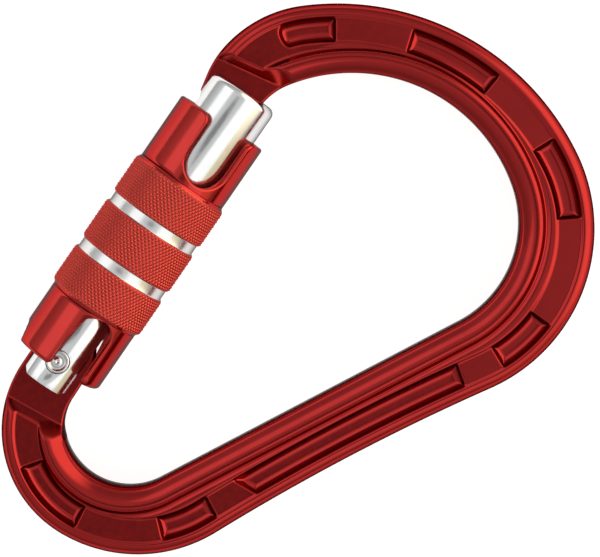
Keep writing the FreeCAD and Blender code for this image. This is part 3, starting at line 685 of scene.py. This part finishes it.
def about_gate(radius, angle, height):
    """Points about the gate's axis; the angle runs from the front face towards the spine."""
    return np.stack([radius * np.sin(angle), height + 0 * angle, radius * np.cos(angle)], axis=-1)


def knurled_rows(bottom, top):
    """The rows of one knurled field, whose edges are bevelled and left uncut."""
    rows = []
    steps = int(round((top - bottom - 2 * KNURL_MARGIN) / ROW_PITCH))
    for height in np.linspace(bottom + KNURL_MARGIN, top - KNURL_MARGIN, steps):
        end = min(height - bottom, top - height)
        radius = KNURL_RADIUS - KNURL_BEVEL * (1 - smooth_step(*BEVEL_RUN, end))
        rows.append((height, radius, float(smooth_step(*CUT_RUN, end)), KNURL_SKIN))
    return rows


def band_rows(bottom):
    """The rows of one bare turned band between two knurled fields."""
    edge = [(0.0, KNURL_RADIUS - BAND_WALL, KNURL_SKIN), (0.04, BAND_RADIUS + BAND_FILLET, BARE_SKIN),
            (0.12, BAND_RADIUS, BARE_SKIN)]
    top = bottom + BAND_WIDTH
    return ([(bottom + away, radius, 0.0, skin) for away, radius, skin in edge]
            + [(bottom + BAND_WIDTH / 2, BAND_RADIUS, 0.0, BARE_SKIN)]
            + [(top - away, radius, 0.0, skin) for away, radius, skin in edge[::-1]])


def barrel_rows():
    """(height, radius, knurled share, skin) of each row round the sleeve's knurled stretch, up the
    outside and back down the bore."""
    lead = [(SHOULDER, SLEEVE_RADIUS), (0.35, SLEEVE_RADIUS + 0.03), (0.05, KNURL_RADIUS - KNURL_DEPTH)]
    rows = [(KNURL_BOTTOM - away, radius, 0.0, SMOOTH_SKIN) for away, radius in lead]
    start = KNURL_BOTTOM
    for band in BANDS:
        rows += knurled_rows(start, band) + band_rows(band)
        start = band + BAND_WIDTH
    rows += knurled_rows(start, KNURL_TOP)
    rows += [(KNURL_TOP + away, radius, 0.0, SMOOTH_SKIN) for away, radius in lead[::-1]]
    return rows + [(height, SLEEVE_BORE, 0.0, SATIN_SKIN) for height in (BARREL_TOP, BARREL_BOTTOM)]


def knurl_drop(angle, height):
    """How far a diamond knurl lies below its points."""
    pitch = 2 * math.pi * KNURL_RADIUS / KNURL_STARTS
    u = angle * KNURL_RADIUS / pitch
    v = height / pitch / KNURL_STRETCH
    one = np.abs(((u + v) % 1.0) - 0.5) * 2
    two = np.abs(((u - v) % 1.0) - 0.5) * 2
    return KNURL_DEPTH * np.clip(np.maximum(one, two) - KNURL_FLAT, 0.0, 1.0)


def knurled_barrel():
    """The points, faces and skins of the sleeve's knurled stretch."""
    columns = KNURL_STARTS * COLUMNS_PER_START
    angle = np.arange(columns) * 2 * math.pi / columns
    rows = barrel_rows()
    points = [about_gate(radius - share * knurl_drop(angle, height), angle, height)
              for height, radius, share, _ in rows]
    faces = grid_faces(len(rows), columns, wrap_rows=True, wrap_columns=True)
    skins = [skin for _, _, _, skin in rows]
    row_skins = np.maximum(skins, np.roll(skins, -1))
    return np.concatenate(points), faces, np.repeat(row_skins, columns)


CORNER_POINTS = 10
WALL_POINTS = 16
ROOT_POINTS = 56


def notched_rim(half, root, mouth, turn, direction, corner):
    """The rim of one smooth end as (angle, height) pairs, once round the sleeve. Two notches, one at
    the front and one at the back, cut into it from the mouth to the root."""
    spring = root + direction * half
    lip = mouth - direction * corner
    wall = []
    for t in np.radians(np.linspace(0, 90, CORNER_POINTS)):
        wall.append((-half - corner * (1 - math.sin(t)), mouth - direction * corner * (1 - math.cos(t))))
    for t in np.linspace(0, 1, WALL_POINTS)[1:-1]:
        wall.append((-half, lip + t * (spring - lip)))
    around_root = [(half * math.sin(t), spring - direction * half * math.cos(t))
                   for t in np.radians(np.linspace(-90, 90, ROOT_POINTS))]
    notch = wall + around_root + [(-x, y) for x, y in wall[::-1]]
    rim = []
    for middle in (math.radians(turn), math.pi - math.radians(turn)):
        rim += [(middle + math.asin(x / SLEEVE_RADIUS), y) for x, y in notch]
    return rim


RIM_GAP = 0.2           # a plain stretch of rim over this many radians gets more points
RIM_STRIDE = 0.05


def filled_rim(rim):
    """The rim's angles and heights, with points along the plain stretches between the notches."""
    filled = []
    following = rim[1:] + [(rim[0][0] + 2 * math.pi, rim[0][1])]
    for (angle, height), (after_angle, after_height) in zip(rim, following):
        filled.append((angle, height))
        gap = after_angle - angle
        if gap > RIM_GAP:
            for t in np.linspace(0, 1, int(gap / RIM_STRIDE) + 1)[1:-1]:
                filled.append((angle + t * gap, height + t * (after_height - height)))
    return np.array(filled).T


def into_metal(flat, direction):
    """The unrolled rim's unit normals, which point into the metal."""
    ahead = np.roll(flat, -1, axis=0)
    ahead[-1, 0] += 2 * math.pi * SLEEVE_RADIUS
    behind = np.roll(flat, 1, axis=0)
    behind[0, 0] -= 2 * math.pi * SLEEVE_RADIUS
    tangent = ahead - behind
    tangent /= np.linalg.norm(tangent, axis=1)[:, None]
    return np.column_stack([tangent[:, 1], -tangent[:, 0]]) * direction


MOUTH_REACH = (0.2, 2.0)        # from the mouth, over which its wider edge turns into the notch's
EDGE_CLEAR = 0.02       # between the smooth outside's last row and the rounded edge
OUTER_ROWS = 12
EDGE_ROWS = 6
BORE_ROWS = 10
BORE_EDGE = [(0.18, 0.0), (0.1, 0.05), (0.0, 0.16)]     # (out from the bore, in from the rim)


def smooth_end(base, root, mouth, half, turn, mouth_edge, corner):
    """One smooth end of the sleeve, from the knurl's foot to the notched rim and back down inside."""
    direction = math.copysign(1.0, mouth - base)
    angle, height = filled_rim(notched_rim(half, root, mouth, turn, direction, corner))
    flat = np.column_stack([angle * SLEEVE_RADIUS, height])
    inward = into_metal(flat, direction)
    at_mouth = 1 - smooth_step(*MOUTH_REACH, (mouth - height) * direction)
    edge = NOTCH_EDGE + (mouth_edge - NOTCH_EDGE) * at_mouth
    # the foot is spread evenly, but each foot point stays near its rim point
    even = angle[0] + np.arange(len(angle)) * 2 * math.pi / len(angle)
    foot = 0.5 * even + 0.5 * angle

    def row(radius, inset, share=1.0):
        """A row at an inset from the rim, or at a share of the way to it from the foot."""
        spot = flat + inward * np.broadcast_to(inset, len(flat))[:, None]
        turned = foot + (spot[:, 0] / SLEEVE_RADIUS - foot) * share
        return about_gate(radius, turned, base + (spot[:, 1] - base) * share)

    rows = [row(SLEEVE_RADIUS, edge + EDGE_CLEAR, share) for share in np.linspace(0, 1, OUTER_ROWS)[:-1]]
    for t in np.radians(np.linspace(0, 90, EDGE_ROWS)):
        rows.append(row(SLEEVE_RADIUS - edge * (1 - math.cos(t)), edge * (1 - math.sin(t))))
    rows += [row(SLEEVE_BORE + rise, inset) for rise, inset in BORE_EDGE]
    last_inset = BORE_EDGE[-1][1]
    rows += [row(SLEEVE_BORE, last_inset, share) for share in np.linspace(1, 0, BORE_ROWS)[1:]]
    faces = grid_faces(len(rows), len(angle), wrap_rows=True, wrap_columns=True, flip=direction < 0)
    return np.concatenate(rows), faces


FLAT_SHOULDER = (2.7, 1.9)      # the heights where the foot's milled flat begins and is full
FLAT_DEPTH = 0.6
FLAT_LEAN = 0.2         # how much deeper it gets for each millimetre further down


def mill_flat(points):
    """Mills the flat on the foot's outer side, which clears the frame's shoulder."""
    height = points[:, 1]
    reach = (SLEEVE_RADIUS - FLAT_DEPTH * smooth_step(*FLAT_SHOULDER, height)
             - FLAT_LEAN * (FLAT_SHOULDER[1] - height).clip(0))
    points[:, 0] = np.maximum(points[:, 0], -reach)


def whole_sleeve():
    """The points, faces and skins of the sleeve: the knurled barrel and its two smooth ends."""
    upper = smooth_end(BARREL_TOP, root=41.2, mouth=SLEEVE_TOP, half=4.6, turn=17.0,
                       mouth_edge=0.5, corner=1.6)
    lower = smooth_end(BARREL_BOTTOM, root=11.2, mouth=SLEEVE_BOTTOM, half=3.75, turn=18.3,
                       mouth_edge=0.9, corner=1.0)
    mill_flat(lower[0])
    parts = [knurled_barrel()]
    for points, faces in (upper, lower):
        from_axis = np.hypot(points[:, 0], points[:, 2])[faces].mean(axis=1)
        parts.append((points, faces, np.where(from_axis < BORE_SKIN, SATIN_SKIN, SMOOTH_SKIN)))
    points, faces, skins = zip(*parts)
    starts = np.cumsum([0] + [len(group) for group in points[:-1]])
    numbered = [group + start for group, start in zip(faces, starts)]
    return np.concatenate(points), np.concatenate(numbered).tolist(), np.concatenate(skins)


sleeve_points, sleeve_faces, sleeve_skins = whole_sleeve()
sleeve_piece = mesh_piece("sleeve_shell", sleeve_points, sleeve_faces, SLEEVE_SKINS, sleeve_skins)
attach(sleeve_piece, "sleeve")
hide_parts("locking_sleeve")

# ---------------------------------------------------------------- the hinge rivet

# half of the rivet's turned side as (radius, height): the shank, the head and its dished end
RIVET_SIDE = [
    (2.0, 0.0), (2.0, 4.2), (2.25, 4.22), (2.25, 4.85), (2.22, 5.02), (2.12, 5.16), (1.98, 5.24),
    (1.84, 5.25), (1.72, 5.20), (1.62, 5.08), (1.50, 4.99), (1.25, 4.93), (0.95, 4.93), (0.72, 4.97),
    (0.60, 5.06), (0.50, 5.13), (0.38, 5.13), (0.27, 5.05), (0.14, 4.97)]
RIVET_STEPS = 72


def turned_rivet():
    angle = np.arange(RIVET_STEPS) * 2 * math.pi / RIVET_STEPS
    side = RIVET_SIDE[::-1] + [(radius, -height) for radius, height in RIVET_SIDE[1:]]
    rows = [np.column_stack([radius * np.cos(angle), radius * np.sin(angle), np.full(RIVET_STEPS, height)])
            for radius, height in side]
    return np.concatenate(rows), tube_faces(len(rows), RIVET_STEPS, flip=True)


rivet_piece = mesh_piece("rivet_turned", *turned_rivet(), [STEEL])
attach(rivet_piece, "gate")
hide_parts("hinge_rivet")

# ---------------------------------------------------------------- the closing spring

WIRE_RADIUS = 0.3
COIL_RADIUS = 1.45
OPEN_TURNS = 6
CLOSED_TURNS = 1.25     # at each end, where the turns lie on each other
ALL_TURNS = OPEN_TURNS + 2 * CLOSED_TURNS
CLOSED_PITCH = 2 * WIRE_RADIUS + 0.02
STEPS_PER_TURN = 28
WIRE_SIDES = 10


def coil_height(turns, bottom, top):
    """The height of a coil's wire after a number of turns, with closed turns at both ends."""
    places = [0.0, CLOSED_TURNS, ALL_TURNS - CLOSED_TURNS, ALL_TURNS]
    climb = CLOSED_PITCH * CLOSED_TURNS
    return np.interp(turns, places, [bottom, bottom + climb, top - climb, top])


def closing_coil(bottom, top):
    """A coil of round wire about the gate's axis, from the plunger up to the end of its bore."""
    turns = np.linspace(0.0, ALL_TURNS, int(ALL_TURNS * STEPS_PER_TURN))
    around = np.arange(WIRE_SIDES) * 2 * math.pi / WIRE_SIDES
    reach = COIL_RADIUS + WIRE_RADIUS * np.cos(around)
    lift = WIRE_RADIUS * np.sin(around)
    rings = [np.column_stack([reach * math.sin(bearing), height + lift, reach * math.cos(bearing)])
             for bearing, height in zip(2 * math.pi * turns, coil_height(turns, bottom, top))]
    return np.concatenate(rings), tube_faces(len(rings), WIRE_SIDES, flip=True)


spring_low, spring_high = [(np.array(corner) - HINGE)[1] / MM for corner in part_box("gate_spring")]
coil = closing_coil(spring_low + WIRE_RADIUS, spring_high - WIRE_RADIUS)
spring_piece = mesh_piece("closing_spring", *coil, [SPRING])
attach(spring_piece, "gate")
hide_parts("gate_spring")
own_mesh(spring_piece)

# ---------------------------------------------------------------- CAD pieces that stay

GATE_EDGE = 0.22        # the rounding of the gate's edges
WELD_DISTANCE = 1e-6    # in metres
FLAT_ANGLE = 1.0        # in degrees: facets that differ by less are one flat face
EDGE_ANGLE = 28.0       # in degrees: edges that turn by more are rounded


def give_material(node, material):
    piece = frame["nodes"][node]
    piece.data.materials.clear()
    piece.data.materials.append(material)
    return piece


def round_edges(piece, radius):
    """Rounds a CAD piece's sharp edges with modifiers, once its facets are joined to whole faces."""
    weld = piece.modifiers.new("weld", "WELD")
    weld.merge_threshold = WELD_DISTANCE
    flats = piece.modifiers.new("whole_flats", "DECIMATE")
    flats.decimate_type = "DISSOLVE"
    flats.angle_limit = math.radians(FLAT_ANGLE)
    rounding = piece.modifiers.new("rounded_edges", "BEVEL")
    rounding.width = radius * MM
    rounding.segments = 3
    rounding.limit_method = "ANGLE"
    rounding.angle_limit = math.radians(EDGE_ANGLE)
    rounding.harden_normals = True


round_edges(give_material("gate", POLISHED), GATE_EDGE)
for material, kept_nodes in (
        (STEEL, ("guide_pin", "gate_plunger", "track_ring")),
        (SPRING, ("retaining_ring", "sleeve_spring", "spring_seat")),
        (BUSH, ("lower_bush", "upper_bush"))):
    for node in kept_nodes:
        give_material(node, material)

# ---------------------------------------------------------------- floor

FLOOR_SIZE = 4.0        # in metres


def pale_floor(height):
    half = FLOOR_SIZE / 2
    mesh = bpy.data.meshes.new("floor")
    corners = [(x, y, height) for x, y in ((-half, -half), (half, -half), (half, half), (-half, half))]
    mesh.from_pydata(corners, [], [(0, 1, 2, 3)])
    mesh.materials.append(paper())
    made = bpy.data.objects.new("floor", mesh)
    bpy.context.scene.collection.objects.link(made)
    return made


floor = pale_floor(cad_box[0].z)

# ---------------------------------------------------------------- studio light

WARM = (1.0, 0.86, 0.56)
# levels as (place, level) or (place, level, tint), from the horizon up to straight overhead
TENT = [(0.0, 0.24), (0.12, 0.34), (0.45, 0.52), (0.85, 0.62), (0.95, 0.80), (0.985, 1.1)]
# from the gate's side over the top to the spine's side
SOFTBOXES = [
    (0.03, 0.45), (0.17, 0.70), (0.19, 1.3), (0.34, 1.35), (0.37, 0.7), (0.60, 0.7), (0.63, 1.35),
    (0.80, 1.3), (0.83, 0.9, WARM), (0.93, 0.8, WARM), (0.97, 0.35)]
SOFTBOX_ENDS = [(0.38, 1.0), (0.50, 0.0)]       # how far north and south the softboxes reach
BEYOND_WAY = (0.66, 0.66, 0.36)
BEYOND_EDGE = [(0.68, 0.0), (0.86, 1.0)]
BEYOND_COLOUR = (2.1, 1.85, 1.50)
GAP_WAY = (-0.035, -0.105, 1.0)
GAP_EDGE = [(0.982, 0.0), (0.992, 1.0)]
GAP_COLOUR = (0.25, 0.25, 0.26)


def sky_ramp(nodes, links, value, stops):
    """A colour ramp of the sky. Each stop is (place, level) or (place, level, tint)."""
    made = nodes.new("ShaderNodeValToRGB")
    elements = made.color_ramp.elements
    while len(elements) < len(stops):
        elements.new(0.5)
    for element, (place, level, *tint) in zip(elements, stops):
        element.position = place
        red, green, blue = tint[0] if tint else (1.0, 1.0, 1.0)
        element.color = (level * red, level * green, level * blue, 1.0)
    links.new(value, made.inputs["Fac"])
    return made.outputs["Color"]


def toward(nodes, links, direction, way):
    """How nearly a direction of the sky points the given way, as a cosine."""
    dot = nodes.new("ShaderNodeVectorMath")
    dot.operation = "DOT_PRODUCT"
    links.new(direction, dot.inputs[0])
    dot.inputs[1].default_value = Vector(way).normalized()
    return dot.outputs["Value"]


def studio_sky():
    """A pale tent with softboxes on both sides, a broad warm light beyond the spine and the basket,
    and a dark gap almost straight overhead, where the camera looks in."""
    world = bpy.data.worlds.new("studio")
    world.use_nodes = True
    nodes, links = world.node_tree.nodes, world.node_tree.links
    direction = nodes.new("ShaderNodeTexCoord").outputs["Generated"]
    east, north, height = split_axes(nodes, links, direction)
    turned = calculate(nodes, links, "ARCTAN2", east, height)
    lean = calculate(nodes, links, "ADD", calculate(nodes, links, "DIVIDE", turned, math.pi), 0.5)
    in_box = sky_ramp(nodes, links, calculate(nodes, links, "ABSOLUTE", north), SOFTBOX_ENDS)
    sky = colour_mix(nodes, links, in_box, sky_ramp(nodes, links, height, TENT),
                     sky_ramp(nodes, links, lean, SOFTBOXES))
    for way, edge, colour in ((BEYOND_WAY, BEYOND_EDGE, BEYOND_COLOUR), (GAP_WAY, GAP_EDGE, GAP_COLOUR)):
        lit = sky_ramp(nodes, links, toward(nodes, links, direction, way), edge)
        sky = colour_mix(nodes, links, lit, sky, rgba(colour))
    links.new(sky, nodes["Background"].inputs["Color"])
    return world


bpy.context.scene.world = studio_sky()
bpy.context.scene.view_settings.view_transform = "Standard"

# ---------------------------------------------------------------- camera

PICTURE_TURN = 34.6     # in degrees: how far the picture's width is turned from +X
CAMERA_LENS = 150.1
CAMERA_SENSOR = 36.0
CAMERA_PLACE = (9.359, 63.745, 463.0)
CAMERA_AIM = (28.204, 37.647, 0.0)
NEAR_LIMIT = 0.01       # in metres


def picture_camera():
    """A camera almost straight over the object."""
    data = bpy.data.cameras.new("camera")
    data.sensor_width = CAMERA_SENSOR
    data.lens = CAMERA_LENS
    data.clip_start = NEAR_LIMIT
    made = bpy.data.objects.new("camera", data)
    bpy.context.scene.collection.objects.link(made)
    made.location = Vector(in_row_frame(CAMERA_PLACE))
    back = (made.location - Vector(in_row_frame(CAMERA_AIM))).normalized()
    turn = math.radians(PICTURE_TURN)
    across = Vector((math.cos(turn), math.sin(turn), 0.0))
    right = (across - back * across.dot(back)).normalized()
    made.rotation_euler = Matrix((right, back.cross(right), back)).transposed().to_euler()
    return made


bpy.context.scene.camera = picture_camera()
